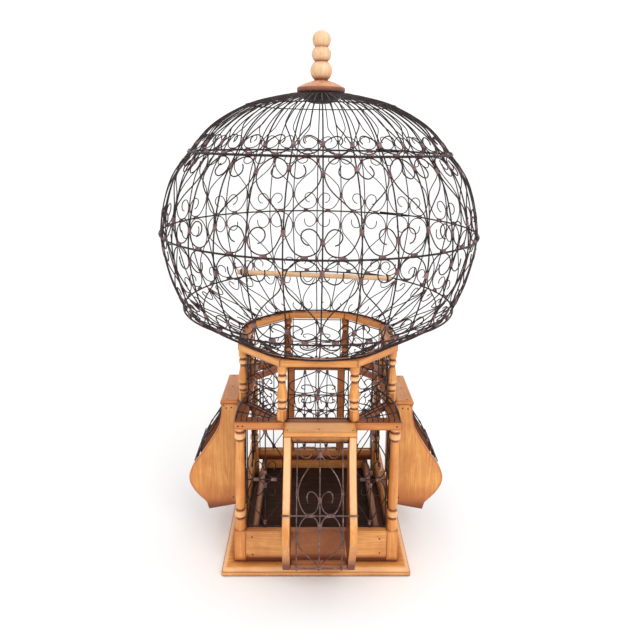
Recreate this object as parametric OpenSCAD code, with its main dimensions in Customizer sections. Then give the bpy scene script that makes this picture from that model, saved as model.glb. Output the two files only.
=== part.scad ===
// Domed bird cage of turned wood and scrolled iron wire, standing on a square board.
// Millimetres, +Z up, origin at the centre of the board's underside, front towards -Y.

/* [Base] */
// Width of the square base board
base_w = 300; // [290:1:320]
// Thickness of the base board
base_t = 12; // [10:0.5:16]
// Width of the box that the four low walls make
box_w = 262; // [256:1:264]
// Thickness of the low walls
wall_t = 11; // [8:0.5:12]
// Height of the top of the low walls above the underside
wall_top = 65; // [55:1:70]

/* [Storeys] */
// Height of the underside of the middle frame
mid_z = 238; // [225:1:245]
// Thickness of the middle frame
mid_t = 12; // [10:0.5:14]
// Height of the underside of the eight-sided top frame
drum_z = 340; // [330:1:345]
// Thickness of the eight-sided top frame
drum_t = 11; // [9:0.5:12]
// Half the width of the eight-sided drum across its flats
drum_a = 132; // [128:1:134]
// Half the length of the drum's front, back, left and right sides
drum_h = 60; // [56:1:62]

/* [Dome] */
// Radius of the dome at its widest ring
dome_r = 260; // [255:1:265]
// Number of upright wires in the dome
ribs = 32; // [32]
// Diameter of the upright wires
rib_d = 2.2; // [1.6:0.1:2.4]
// Diameter of the ring wires
ring_d = 2.8; // [2:0.1:3]
// Diameter of the scrolled wires
scroll_d = 2; // [1.6:0.1:2.2]

/* [Hatches] */
// Width of a hatch over its two cheeks
hatch_w = 110; // [100:1:114]
// Thickness of a hatch cheek
cheek_t = 11.5; // [7:0.5:12]

/* [Perch and tray] */
// Diameter of the perch
perch_d = 10; // [8:0.5:12]
// Length of the perch
perch_l = 306; // [280:1:308]
// Height of the tray's floor above the underside
tray_top = 26; // [22:1:30]

/* [Hidden] */

wood = [0.80, 0.50, 0.25];
dark_wood = [0.45, 0.22, 0.12];
pale_wood = [0.90, 0.74, 0.55];
iron = [0.16, 0.12, 0.12];
clearance = 0.1;
$fn = 48;

mid_top = mid_z + mid_t;
drum_top = drum_z + drum_t;
box_h = box_w / 2;
frame_h = box_h + 1;
rail_w = 20;
post_w = 18;
post_c = box_h - post_w / 2;
drum_post_w = 16;
step_az = 360 / ribs;

// ---------- curves ----------

// One Catmull-Rom span at t from 0 to 1.
function span(a, b, c, d, t) =
    0.5 * (2 * b + (c - a) * t + (2 * a - 5 * b + 4 * c - d) * t * t
           + (3 * b - a - 3 * c + d) * t * t * t);
// A smooth curve through the knots, with n points to each span.
function smooth(k, n) = let (m = len(k) - 1) concat(
    [for (i = [0:m - 1], j = [0:n - 1])
        span(k[max(i - 1, 0)], k[i], k[i + 1], k[min(i + 2, m)], j / n)],
    [k[m]]);
// The point a share s of the way along a list of points.
function along(p, s) = let (m = len(p) - 1, f = min(max(s, 0), 1) * m, i = min(floor(f), m - 1))
    p[i] + (f - i) * (p[i + 1] - p[i]);
function unit(v) = v / norm(v);
// The direction of a list of points at index i.
function heading(p, i) = unit(p[min(i + 1, len(p) - 1)] - p[max(i - 1, 0)]);
// The two sides of a stroke of width w along a flat list of points.
function beside(p, w) = concat(
    [for (i = [0:len(p) - 1]) let (h = heading(p, i)) p[i] + w / 2 * [-h[1], h[0]]],
    [for (i = [len(p) - 1:-1:0]) let (h = heading(p, i)) p[i] - w / 2 * [-h[1], h[0]]]);

// A wire of three sides along 3-D points, with a facing direction at each point.
module wire(p, face, d) {
    r = d / 2;
    n = 3;
    m = len(p);
    points = [for (i = [0:m - 1])
        let (t = heading(p, i), u = unit(face[i] - (face[i] * t) * t), v = cross(t, u))
        for (k = [0:n - 1]) p[i] + r * (cos(360 * k / n) * u + sin(360 * k / n) * v)];
    sides = [for (i = [0:m - 2], k = [0:n - 1]) let (q = (k + 1) % n, a = i * n, b = a + n)
        each [[a + k, b + k, b + q], [a + k, b + q, a + q]]];
    ends = [[for (k = [0:n - 1]) k], [for (k = [n - 1:-1:0]) (m - 1) * n + k]];
    polyhedron(points, concat(sides, ends), convexity = 6);
}

// ---------- the heart motif ----------

// Half a heart with its scroll: x from 0 on its middle line to 1 at its edge,
// y from 0 at the ring or bar that its lobe touches to 1 at the next one.
heart = [[0.33, 0.11], [0.52, 0.16], [0.48, 0.25], [0.28, 0.27], [0.06, 0.17], [0.07, 0.09],
         [0.22, 0.035], [0.47, 0.015], [0.75, 0.06], [0.94, 0.20], [0.92, 0.31], [0.66, 0.48],
         [0.30, 0.66], [0.06, 0.80]];
// What follows the heart's point: out to the next ring, down beside the next upright and round.
tail = [[0.06, 0.87], [0.22, 0.95], [0.5, 0.98], [0.78, 0.95], [0.93, 0.86], [0.72, 0.78],
        [0.62, 0.85]];

// ---------- dome ----------

foot_z = drum_top + ring_d / 2 + clearance;
lower_z = 412;
equator_z = 535;
shoulder_z = 663;
crown_z = 738;
collar_z = 756;
hub_r = 34;
hub_z = 758;
// Radius and height of the upright wires, from the foot to the widest ring and up to the hub.
skirt_knots = [[126, foot_z], [178, 380], [225, lower_z]];
bell_knots = [[225, lower_z], [247, 465], [dome_r, equator_z], [245, 613], [213, shoulder_z],
              [176, 706], [122, crown_z], [70, 753], [hub_r + clearance, hub_z]];
skirt = smooth(skirt_knots, 2);
bell = smooth(bell_knots, 3);
profile = concat(skirt, [for (p = bell) if (p[1] > lower_z) p]);
radius_at = [for (p = profile) [p[1], p[0]]];
function dome_radius(z) = lookup(z, radius_at);
// A point on the dome, d outside the middle of the upright wires.
function on_dome(az, z, d) = let (r = dome_radius(z) + d) [r * sin(az), -r * cos(az), z];
function outward(az) = [sin(az), -cos(az), 0];
// The dome's outward direction at a height, as [sideways, up].
function dome_normal(z) = unit([2, dome_radius(z - 1) - dome_radius(z + 1)]);

// The lengths of upright wire between the heights z0 and z1, each ending a hair short of the next.
module dome_ribs(line, z0, z1) {
    tier = [for (p = line) if (p[1] >= z0 && p[1] <= z1) p];
    last = len(tier) - 1;
    ends = concat([tier[0] + 0.05 * unit(tier[1] - tier[0])], [for (i = [1:last - 1]) tier[i]],
                  [tier[last] - 0.05 * unit(tier[last] - tier[last - 1])]);
    color(iron)
    for (i = [0:ribs - 1])
        rotate([90, 0, i * step_az - 90])
            translate([0, 0, -rib_d / 2])
                linear_extrude(rib_d) polygon(beside(ends, rib_d));
}

// A ring wire that lies outside the upright wires.
module dome_ring(z, d = ring_d) {
    place = [dome_radius(z), z] + (rib_d / 2 + d / 2 + 2 * clearance) * dome_normal(z);
    color(iron)
    translate([0, 0, place[1]])
        rotate_extrude($fn = 96) translate([place[0], 0]) circle(d = d, $fn = 16);
}

// Two mirrored half hearts at every other upright, between the heights z0 and z1.
module dome_hearts(path, z0, z1) {
    inset = -(rib_d + scroll_d) / 2 - 2 * clearance;
    color(iron)
    for (i = [0:2:ribs - 1], side = [-1, 1]) {
        az = [for (q = path) i * step_az + side * q[0] * step_az];
        wire([for (k = [0:len(path) - 1]) on_dome(az[k], z0 + path[k][1] * (z1 - z0), inset)],
             [for (a = az) outward(a)], scroll_d);
    }
}

// Crimped sleeves that hold scrolls to the uprights, upright ones at az with a length.
module ferrules() {
    length = 8;
    color(iron)
    for (i = [0:2:ribs - 1], c = [[0, 555], [1, 563], [0, 645], [0, 512], [1, 501], [0, 434]])
        translate(on_dome((i + c[0]) * step_az, c[1], -1.3))
            cylinder(d = 5, h = length, center = true, $fn = 16);
}

// ---------- crown ----------

module crown_hub() {
    color(iron) rotate_extrude()
        polygon([[0, 742], [14, 743], [24, 746.5], [31, 752], [hub_r, 756], [hub_r, 760.5], [0, 760.5]]);
}

module cap() {
    color(dark_wood) translate([0, 0, 760.5]) rotate_extrude()
        polygon(concat([[0, 0], [38.5, 0], [39.5, 1.5], [39.5, 7], [38.5, 8.5]],
                       smooth([[37, 9], [24, 14.5], [15, 18]], 4), [[0, 19.5]]));
}

// A ball of radius r centred at height z, cut by the planes where its neighbours meet it.
module bead(z, r, low, high) {
    intersection() {
        translate([0, 0, z]) sphere(r = r, $fn = 48);
        translate([0, 0, low]) cylinder(r = r + 1, h = high - low);
    }
}

module finial() {
    color(pale_wood) union() {
        translate([0, 0, 780]) cylinder(r = 10, h = 70);
        bead(795, 18, 780.3, 809);
        bead(821.5, 16, 809, 833.5);
        bead(845, 15, 833.5, 861);
    }
}

// ---------- base ----------

module base_board() {
    square_edge = 7;
    bevel = 9;
    color(wood) hull() {
        slab(base_w / 2, 0, square_edge);
        slab(base_w / 2 - bevel, base_t - 0.1, 0.1);
    }
}

// A square slab of half-width h and thickness t, its underside at height z.
module slab(h, z, t) {
    translate([-h, -h, z]) cube([2 * h, 2 * h, t]);
}

// A low wall on one side, turned by a: 0 is the front.
module low_wall(a, bottom) {
    inner = post_c - post_w / 2;
    color(wood) rotate([0, 0, a])
        translate([-inner + clearance, -box_h, bottom])
            cube([2 * (inner - clearance), wall_t, wall_top - bottom]);
}

// The height under the back wall, and half the width of the tray and its rim strips.
tray_gap = 44;
tray_half = 106;
tray_rim = 9;
// The tray slides out backwards, between the back posts and under the back wall.
module floor_tray() {
    front = box_h - wall_t - 1;
    color(dark_wood) difference() {
        translate([-tray_half, -front, base_t + 0.3])
            cube([2 * tray_half, front + box_h, tray_gap - base_t - 0.8]);
        translate([-tray_half + tray_rim, -front + tray_rim, tray_top])
            cube([2 * (tray_half - tray_rim), front + box_h - tray_rim - wall_t, tray_gap]);
    }
}

module tray_knob() {
    color(wood) translate([0, box_h, (base_t + tray_gap) / 2]) rotate([-90, 0, 0]) {
        rotate_extrude()
            polygon([[0, 0], [4, 0], [3, 4], [6.5, 8], [7, 11], [5, 14], [0, 15]]);
    }
}

// Radius and height of a corner post above its square block.
post_turning = [[8.4, 69], [7.2, 82], [6.2, 85], [8.4, 88], [8.4, 96], [6.4, 99], [7.4, 107],
                [7.6, 140], [6.8, 205], [6.2, 218], [8.4, 221], [8.4, 229], [6.4, 231], [8.2, 235]];
module corner_post(sx, sy) {
    color(wood) translate([sx * post_c, sy * post_c, 0]) union() {
        translate([-post_w / 2, -post_w / 2, base_t]) cube([post_w, post_w, wall_top - base_t]);
        rotate_extrude()
            polygon(concat([[0, wall_top - 1], [8.4, wall_top - 1]], post_turning,
                           [[8.4, mid_z], [0, mid_z]]));
    }
}

// ---------- middle frame ----------

// The front and back rails run the whole width; the side rails fit between them.
module mid_rail(a, half) {
    color(wood) rotate([0, 0, a]) translate([-half, -frame_h, mid_z]) cube([2 * half, rail_w, mid_t]);
}

module corner_braces() {
    inner = frame_h - rail_w;
    color(dark_wood)
    for (a = [0:90:270]) rotate([0, 0, a])
        translate([0, 0, mid_top - 10]) linear_extrude(9)
            polygon([[drum_h - 6, -inner + clearance], [drum_h + 10, -inner + clearance],
                     [inner - clearance, -drum_h - 10], [inner - clearance, -drum_h + 6]]);
}

// ---------- drum ----------

drum_c = drum_a - drum_post_w / 2 - 0.5;
drum_d = drum_h - 4;
drum_corners = [[-drum_d, -drum_c], [drum_d, -drum_c], [drum_c, -drum_d], [drum_c, drum_d],
                [drum_d, drum_c], [-drum_d, drum_c], [-drum_c, drum_d], [-drum_c, -drum_d]];
drum_turning = [[7.4, 18.5], [5.8, 21], [5.8, 22.5], [7.2, 24.5], [7.2, 29.5], [5.8, 31.5], [8.2, 38],
                [7.8, 47], [5.2, 63], [5.2, 65.5], [7.2, 68], [7.2, 72.5], [5.6, 74.5], [7.5, 80]];

module drum_post(i) {
    c = drum_corners[i];
    turn = atan2(c[1], c[0]);
    color(wood) translate([c[0], c[1], mid_top]) union() {
        rotate([0, 0, turn]) translate([-6.5, -6.5, 0]) cube([13, 13, 18.5]);
        rotate_extrude()
            polygon(concat([[0, 17]], drum_turning,
                           [[7.6, drum_z - mid_top], [0, drum_z - mid_top]]));
    }
}

module drum_top_frame() {
    w = 15;
    out = [[-drum_h, -drum_a], [drum_h, -drum_a], [drum_a, -drum_h], [drum_a, drum_h],
           [drum_h, drum_a], [-drum_h, drum_a], [-drum_a, drum_h], [-drum_a, -drum_h]];
    k = (drum_a - w) / drum_a;
    color(wood)
    for (i = [0:7]) let (a = out[i], b = out[(i + 1) % 8], g = 0.02 * unit(b - a))
        translate([0, 0, drum_z]) linear_extrude(drum_t) polygon([a + g, b - g, k * b - g, k * a + g]);
}

// ---------- hatches ----------

// Where a hatch's neck, belly and tip are, as distance from the cage's middle and height.
front_hatch = [166, 217, 38];
side_hatch = [161, 217, 53];
// The front hatch sits a little to the right of the middle.
front_hatch_x = 3;
hatch_top_z = mid_top - 5;
belly_z = 108;
// The cheek's curved edge from the neck to the heel.
function cheek_curve(h) = smooth([[h[0], hatch_top_z], [h[0] + 1, 222], [h[0] + 9, 195],
    [193, 158], [h[1] - 6, 132], [h[1], belly_z], [h[1] - 10, 86], [188, h[2] + 13]], 4);
module at_front() {
    translate([front_hatch_x, 0, 0]) children();
}

// The front of the header, its underside and its thickness.
function header_u(h) = h[0] - 2;
header_z = 235.5;
header_t = 8;

module hatch_cheeks(h) {
    inner = frame_h + clearance;
    color(wood)
    for (x = [-hatch_w / 2, hatch_w / 2 - cheek_t])
        translate([x + cheek_t, 0, 0]) rotate([90, 0, -90])
            linear_extrude(cheek_t)
                polygon(concat([[inner, hatch_top_z]], cheek_curve(h),
                               [[184, h[2]], [inner, h[2] + 10]]));
}

// The top board, with the header between the cheeks that the door hangs in front of.
module hatch_top(h) {
    half = hatch_w / 2 - cheek_t - clearance;
    color(wood) union() {
        translate([hatch_w / 2, 0, 0]) rotate([90, 0, -90]) linear_extrude(hatch_w)
            polygon([[frame_h + clearance, hatch_top_z + clearance],
                     [h[0] + 1, hatch_top_z + clearance], [h[0] + 1.6, hatch_top_z + 3],
                     [h[0], mid_top + 1], [frame_h + clearance, mid_top + 1]]);
        translate([-half, -header_u(h), header_z])
            cube([2 * half, header_t, hatch_top_z + 1 - header_z]);
    }
}

module hatch_sill(h) {
    half = hatch_w / 2 - cheek_t - clearance;
    color(wood) translate([-half, -184, h[2]]) cube([2 * half, 12, 9]);
}

// The pivot wire lies across the front of the header, and its bent ends run back to it.
pivot_z = 237;
pivot_d = 2.4;
function pivot_u(h) = h[0] + 2;
module pivot(h) {
    half = hatch_w / 2 - cheek_t - 2 * clearance;
    color(iron) translate([0, -pivot_u(h), pivot_z]) union() {
        rotate([0, 90, 0]) cylinder(d = pivot_d, h = 2 * half, center = true);
        for (x = [-half, half - pivot_d])
            translate([x, 0, -pivot_d / 2])
                cube([pivot_d, pivot_u(h) - header_u(h) - clearance, pivot_d]);
    }
}

// The door's bars bow out from the pivot, stand proud of the cheeks as far as the cross bar, and
// run down between the cheeks to the front of the sill.
door_d = 2;
bar_x = 34;
bar_xs = [-bar_x, 0, bar_x];
// How far down the door its cross bar is, as a share of the curve.
rod_share = 0.453;
function door_curve(h) = smooth([[pivot_u(h), pivot_z - 3.4], [h[0] + 5, 216], [h[0] + 15, 195], [193, 168],
    [204, 145], [h[1] - 6, 120], [h[1] - 6, 104], [h[1] - 12, 84], [190, h[2] + 16],
    [187, h[2] + 2]], 3);

module door(h) {
    curve = door_curve(h);
    inset = (door_d + scroll_d) / 2 + clearance;
    inner = [for (i = [0:len(curve) - 1]) let (t = heading(curve, i)) curve[i] + inset * [t[1], -t[0]]];
    color(iron) {
        for (x = bar_xs) {
            translate([x + door_d / 2, 0, 0]) rotate([90, 0, -90])
                linear_extrude(door_d) polygon(beside(curve, door_d));
            translate([x, -pivot_u(h), pivot_z]) rotate([0, 90, 0])
                rotate_extrude($fn = 24) translate([pivot_d / 2 + 0.06 + door_d / 2, 0])
                    circle(d = door_d, $fn = 16);
        }
        for (c = [[rod_share, hatch_w / 2 + 1], [0.97, bar_x + 6]])
            let (p = along(curve, c[0]), t = heading(curve, round(c[0] * (len(curve) - 1))),
                 q = p - (door_d + 0.2) * [t[1], -t[0]])
            translate([0, -q[0], q[1]]) rotate([0, 90, 0])
                cylinder(d = door_d, h = 2 * c[1], center = true, $fn = 16);
        for (side = [-1, 1], reach = [0.4, -0.5])
            wire([for (q = heart) let (p = along(inner, rod_share - 0.01 * sign(reach) - reach * q[1]))
                     [side * q[0] * (bar_x - 2), -p[0], p[1]]],
                 [for (q = heart) [0, -1, 0.2]], scroll_d);
    }
}

// ---------- flat grilles ----------

grille_d = 2;
upright_depth = 10;
// A flat grille in the XZ plane, width w, from the floor up to height h, with a bar at each cell's
// middle and edges, a cross bar at height m, and a pair of hearts above and below it in each cell.
module grille(w, h, cells, m) {
    cell = w / cells;
    half = cell / 2 - grille_d;
    color(iron) {
        for (i = [0:2 * cells])
            let (edge = w / 2 - grille_d / 2, x = max(-edge, min(edge, -w / 2 + i * cell / 2)))
            translate([x - grille_d / 2, 0, 0.2]) cube([grille_d, grille_d, h - 0.4]);
        for (z = [2, m, h - 2 - grille_d])
            translate([-w / 2, -grille_d - clearance, z]) cube([w, grille_d, grille_d]);
        for (i = [0:cells - 1], side = [-1, 1], part = [[m + grille_d, h - m - 8], [m, 8 - m]])
            translate([-w / 2 + (i + 0.5) * cell, 2 * grille_d + clearance, part[0]])
                rotate([90, 0, 0]) linear_extrude(scroll_d)
                    polygon(beside([for (q = heart) [side * (1 + q[0] * (half - 2)), q[1] * part[1]]],
                                   scroll_d));
    }
}

module drum_grilles() {
    straight = 2 * drum_d - drum_post_w - 1;
    slant = norm([drum_c - drum_d, drum_c - drum_d]) - drum_post_w - 1;
    for (a = [0:90:270]) {
        rotate([0, 0, a]) translate([0, -drum_c, mid_top]) grille(straight, drum_z - mid_top, 1, 42);
        rotate([0, 0, a + 45]) translate([0, -(drum_c + drum_d) / sqrt(2), mid_top])
            grille(slant, drum_z - mid_top, 1, 42);
    }
}

// The lower storey's openings between a corner post and a hatch.
module narrow_grilles(a, shift = 0) {
    to = post_c - post_w / 2 - 1;
    rotate([0, 0, a])
        for (side = [-1, 1]) let (from = hatch_w / 2 + 1 + side * shift)
            translate([side * (from + to) / 2, -post_c, wall_top])
                grille(to - from, mid_z - wall_top, 1, 84);
}

// Two wooden uprights stand in the back as far apart as a hatch's cheeks, with wire between them
// and on each side.
module back_grille() {
    h = mid_z - wall_top;
    from = hatch_w / 2 - 0.5;
    to = post_c - post_w / 2 - 1;
    rotate([0, 0, 180]) translate([0, -post_c, wall_top]) {
        color(wood)
            for (side = [-1, 1]) translate([side * (hatch_w - cheek_t) / 2, 0, h / 2])
                cube([cheek_t, upright_depth, h - 0.4], center = true);
        grille(hatch_w - 2 * cheek_t + 1, h, 2, 84);
        for (side = [-1, 1]) translate([side * (from + to) / 2, 0, 0]) grille(to - from, h, 1, 84);
    }
}

// Bowed wires that roof each corner of the middle frame, up to the drum's slanting sides.
module corner_grilles() {
    d = 2;
    wall = (drum_c + drum_d) / sqrt(2) + 4;
    corner = (frame_h - 4) * sqrt(2);
    rise = 38;
    color(iron)
    for (a = [45:90:315], lat = [-36:12:36]) {
        reach = corner - abs(lat) - wall;
        up = rise * reach / (corner - wall);
        arc = [for (t = [0:10:90]) [wall + reach * cos(t), mid_top + 0.5 + up * sin(t)]];
        rotate([0, 0, a]) translate([0, lat + d / 2, 0]) rotate([90, 0, 0])
            linear_extrude(d) polygon(beside(arc, d));
    }
}

// ---------- perch ----------

perch_place = [-5, 155, 417.5];
perch_tilt = 2;
module perch() {
    color(pale_wood) translate(perch_place) rotate([0, 90 + perch_tilt, 0])
        cylinder(d = perch_d, h = perch_l, center = true);
}

// A wire loop round each end of the perch.
module perch_hooks() {
    color(iron) translate(perch_place) rotate([0, perch_tilt, 0])
        for (side = [-1, 1]) translate([side * (perch_l / 2 - 8), 0, 0]) rotate([0, 90, 0])
            rotate_extrude($fn = 32) translate([perch_d / 2 + 1.1, 0]) circle(d = 2, $fn = 16);
}

// ---------- assembly ----------

base_board();
floor_tray();
tray_knob();
low_wall(0, base_t);  // front_wall
low_wall(180, tray_gap);  // back_wall
low_wall(-90, base_t);  // left_wall
low_wall(90, base_t);  // right_wall
corner_post(-1, -1);  // front_left_post
corner_post(1, -1);  // front_right_post
corner_post(-1, 1);  // back_left_post
corner_post(1, 1);  // back_right_post
mid_rail(0, frame_h);  // front_rail
mid_rail(180, frame_h);  // back_rail
mid_rail(-90, frame_h - rail_w - clearance);  // left_rail
mid_rail(90, frame_h - rail_w - clearance);  // right_rail
corner_braces();
for (i = [1:8])
    drum_post(i - 1);
drum_top_frame();
at_front() hatch_cheeks(front_hatch);  // front_hatch_cheeks
at_front() hatch_top(front_hatch);  // front_hatch_top
at_front() hatch_sill(front_hatch);  // front_hatch_sill
at_front() door(front_hatch);  // front_door
rotate([0, 0, -90]) hatch_cheeks(side_hatch);  // left_hatch_cheeks
rotate([0, 0, -90]) hatch_top(side_hatch);  // left_hatch_top
rotate([0, 0, -90]) hatch_sill(side_hatch);  // left_hatch_sill
rotate([0, 0, -90]) door(side_hatch);  // left_door
rotate([0, 0, 90]) hatch_cheeks(side_hatch);  // right_hatch_cheeks
rotate([0, 0, 90]) hatch_top(side_hatch);  // right_hatch_top
rotate([0, 0, 90]) hatch_sill(side_hatch);  // right_hatch_sill
rotate([0, 0, 90]) door(side_hatch);  // right_door
union() {  // door_pivots
    at_front() pivot(front_hatch);
    rotate([0, 0, -90]) pivot(side_hatch);
    rotate([0, 0, 90]) pivot(side_hatch);
}
dome_ribs(skirt, foot_z, lower_z);  // foot_ribs
dome_ribs(bell, lower_z, equator_z);  // lower_ribs
dome_ribs(bell, equator_z, shoulder_z);  // upper_ribs
union() {  // crown_ribs
    dome_ribs(bell, shoulder_z, crown_z);
    dome_ribs(bell, crown_z, hub_z);
}
dome_ring(foot_z + 3);  // foot_ring
dome_ring(lower_z);  // lower_ring
dome_ring(equator_z);  // equator_ring
dome_ring(shoulder_z);  // shoulder_ring
dome_ring(crown_z, 2);  // crown_ring
dome_ring(collar_z, 1.6);  // collar_ring
dome_hearts(concat(heart, tail), equator_z, lower_z);  // lower_hearts
dome_hearts(concat(heart, tail), equator_z, shoulder_z);  // upper_hearts
ferrules();
crown_hub();
cap();
finial();
perch();
perch_hooks();
drum_grilles();
back_grille();
for (a = [-90:90:90]) narrow_grilles(a, a == 0 ? front_hatch_x : 0);
corner_grilles();
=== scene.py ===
import math
from collections import namedtuple

import bmesh
import bpy
import numpy as np
from mathutils import Matrix, Vector


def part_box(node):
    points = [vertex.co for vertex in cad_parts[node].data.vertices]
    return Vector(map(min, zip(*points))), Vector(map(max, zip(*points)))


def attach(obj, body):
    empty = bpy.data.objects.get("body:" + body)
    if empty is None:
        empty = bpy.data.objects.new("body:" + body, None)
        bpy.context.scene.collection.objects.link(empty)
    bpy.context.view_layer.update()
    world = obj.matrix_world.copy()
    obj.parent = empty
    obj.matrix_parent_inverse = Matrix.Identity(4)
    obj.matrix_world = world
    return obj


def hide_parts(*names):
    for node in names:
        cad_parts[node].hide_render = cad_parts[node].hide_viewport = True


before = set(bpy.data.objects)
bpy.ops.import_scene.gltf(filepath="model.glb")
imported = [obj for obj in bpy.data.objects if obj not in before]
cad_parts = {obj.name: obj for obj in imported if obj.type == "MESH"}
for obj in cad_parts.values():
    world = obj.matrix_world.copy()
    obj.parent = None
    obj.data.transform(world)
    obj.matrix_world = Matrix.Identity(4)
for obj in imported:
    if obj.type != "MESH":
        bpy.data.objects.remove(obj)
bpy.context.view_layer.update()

# Sizes are written in millimetres and turned into metres by MM.
MM = 0.001
noise = np.random.default_rng(7)


# ---------- places from the frame ----------

def box_mm(node):
    low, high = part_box(node)
    return np.array(low) / MM, np.array(high) / MM


board_high = box_mm("base_board")[1]
wall_high = box_mm("front_wall")[1]
rail_low, rail_high = box_mm("front_rail")
drum_low, drum_high = box_mm("drum_top_frame")
post_low, post_high = box_mm("front_left_post")
tray_low, tray_high = box_mm("floor_tray")
cheek_low, cheek_high = box_mm("front_hatch_cheeks")
cap_low, cap_high = box_mm("cap")
hub_high = box_mm("crown_hub")[1]

BASE_H = board_high[0]
BOARD_TOP = board_high[2]
WALL_TOP = wall_high[2]
FRAME_H = rail_high[0]
MID_Z = rail_low[2]
MID_TOP = rail_high[2]
DRUM_Z = drum_low[2]
DRUM_TOP = drum_high[2]
POST_C = (post_high[0] + post_low[0]) / -2
HATCH_HALF = (cheek_high[0] - cheek_low[0]) / 2
FRONT_SHIFT = (cheek_high[0] + cheek_low[0]) / 2
CHEEK_T = 11.5
HUB_R = hub_high[0]
DRUM_A = drum_high[0]
DRUM_H = 60.0


# ---------- curves ----------

def smooth(knots, n=8):
    """A Catmull-Rom curve through the knots, with n points to each span."""
    k = np.array(knots, float)
    padded = np.vstack([k[0], k, k[-1]])
    t = np.arange(n) / n
    out = []
    for a, b, c, d in zip(padded[:-3], padded[1:-2], padded[2:-1], padded[3:]):
        for s in t:
            out.append(0.5 * (2 * b + (c - a) * s + (2 * a - 5 * b + 4 * c - d) * s * s
                              + (3 * b - a - 3 * c + d) * s ** 3))
    out.append(k[-1])
    return np.array(out)


def resample(points, step):
    """The same curve with points about step apart."""
    p = np.array(points, float)
    gaps = np.linalg.norm(np.diff(p, axis=0), axis=1)
    s = np.concatenate([[0], np.cumsum(gaps)])
    n = max(2, int(round(s[-1] / step)) + 1)
    at = np.linspace(0, s[-1], n)
    return np.column_stack([np.interp(at, s, p[:, i]) for i in range(p.shape[1])])


def fade(at, places, values):
    """The value at a place, running straight from each given one to the next."""
    return float(np.interp(at, places, values))


# ---------- mesh building ----------

def new_object(name, data):
    made = bpy.data.objects.new(name, data)
    bpy.context.scene.collection.objects.link(made)
    return made


class Mesh:
    """Vertices in millimetres and faces, with each vertex's place along the grain and its tone.

    A tone of 1 is fully stained, 0 is plain and -1 is worn pale; on some pieces a high tone is painted shade
    and a low one painted highlight.
    """

    def __init__(self):
        self.verts, self.faces, self.grain, self.tone = [], [], [], []
        self.count = 0

    def add(self, verts, faces, grain=None, tone=None):
        verts = np.array(verts, float)
        self.verts.append(verts)
        self.grain.append(verts if grain is None else np.array(grain, float))
        self.tone.append(np.zeros(len(verts)) if tone is None else np.array(tone, float))
        self.faces += [tuple(i + self.count for i in f) for f in faces]
        self.count += len(verts)

    def shade_inner_side(self, x, y, amount):
        """Paints shade on the side of an upright at x, y that looks towards the cage's middle."""
        for verts, tone in zip(self.verts, self.tone):
            away = verts[:, :2] - (x, y)
            inward = -(away @ np.array((x, y))) / (np.linalg.norm(away, axis=1) * math.hypot(x, y) + 1e-6)
            tone += amount * np.clip(2 * inward, 0, 1)

    def piece(self, name, material, body, slot, replaced=(), angle=40.0):
        data = bpy.data.meshes.new(name)
        data.from_pydata((np.vstack(self.verts) * MM).tolist(), [], self.faces)
        data.validate()
        data.update()
        grain = data.attributes.new("grain", "FLOAT_VECTOR", "POINT")
        grain.data.foreach_set("vector", np.vstack(self.grain).ravel())
        tone = data.attributes.new("tone", "FLOAT", "POINT")
        tone.data.foreach_set("value", np.concatenate(self.tone))
        piece = new_object(name, data)
        data.materials.append(material)
        data.shade_smooth()
        data.set_sharp_from_angle(angle=math.radians(angle))
        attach(piece, body)
        if replaced:
            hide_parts(*replaced)

    def honey(self, name, replaced=(), angle=40.0):
        """A piece of the cage's honey-coloured wood."""
        self.piece(name, HONEY, "cage", "honey_wood", replaced, angle)

    def wires(self, name, replaced=()):
        """A piece of the cage's dark wire."""
        self.piece(name, IRON, "cage", "dark_wire", replaced)


def frames_along(p):
    """Unit tangents and two unit normals at each point, turning as little as they can."""
    t = np.gradient(p, axis=0)
    t /= np.linalg.norm(t, axis=1)[:, None]
    u = np.zeros_like(p)
    start = np.array([0, 0, 1.0]) if abs(t[0][2]) < 0.9 else np.array([1.0, 0, 0])
    u[0] = start - start.dot(t[0]) * t[0]
    u[0] /= np.linalg.norm(u[0])
    for i in range(1, len(p)):
        w = u[i - 1] - u[i - 1].dot(t[i]) * t[i]
        u[i] = w / np.linalg.norm(w)
    return t, u, np.cross(t, u)


def band_faces(rings, sides, first=0):
    """The faces between rings that each have the same number of corners."""
    faces = []
    for i in range(rings - 1):
        for k in range(sides):
            a, b = first + i * sides + k, first + i * sides + (k + 1) % sides
            faces.append((a, b, b + sides, a + sides))
    return faces


def end_faces(rings, sides):
    return [tuple(range(sides))[::-1], tuple(range((rings - 1) * sides, rings * sides))]


def tube(mesh, points, radius, sides=8):
    """A round wire along the points. Open ends are domed."""
    p = np.array(points, float)
    n = len(p)
    t, u, v = frames_along(p)
    turns = np.arange(sides) * 2 * math.pi / sides
    shape = np.column_stack([np.cos(turns), np.sin(turns)])
    rings = p[:, None] + radius * (shape[None, :, :1] * u[:, None] + shape[None, :, 1:] * v[:, None])
    verts = rings.reshape(-1, 3).tolist()
    faces = band_faces(n, sides)
    for i, sign in ((0, -1), (n - 1, 1)):
        tip = len(verts)
        verts.append((p[i] + sign * 0.6 * radius * t[i]).tolist())
        for k in range(sides):
            a, b = i * sides + k, i * sides + (k + 1) % sides
            faces.append((b, a, tip) if sign < 0 else (a, b, tip))
    mesh.add(verts, faces)


def relief(profile):
    """The tone of a turned profile: grooves are darker, stain with painted shade, and narrow beads paler, wear
    with painted highlight.
    """
    r, z = profile[:, 0], profile[:, 1]
    around = np.array([np.interp(np.linspace(h - 6, h + 6, 13), z, r).mean() for h in z])
    cut = around - r
    return np.clip(np.where(cut > 0, 1.5 * cut, 0.62 * cut), -0.65, 1.1)


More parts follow.
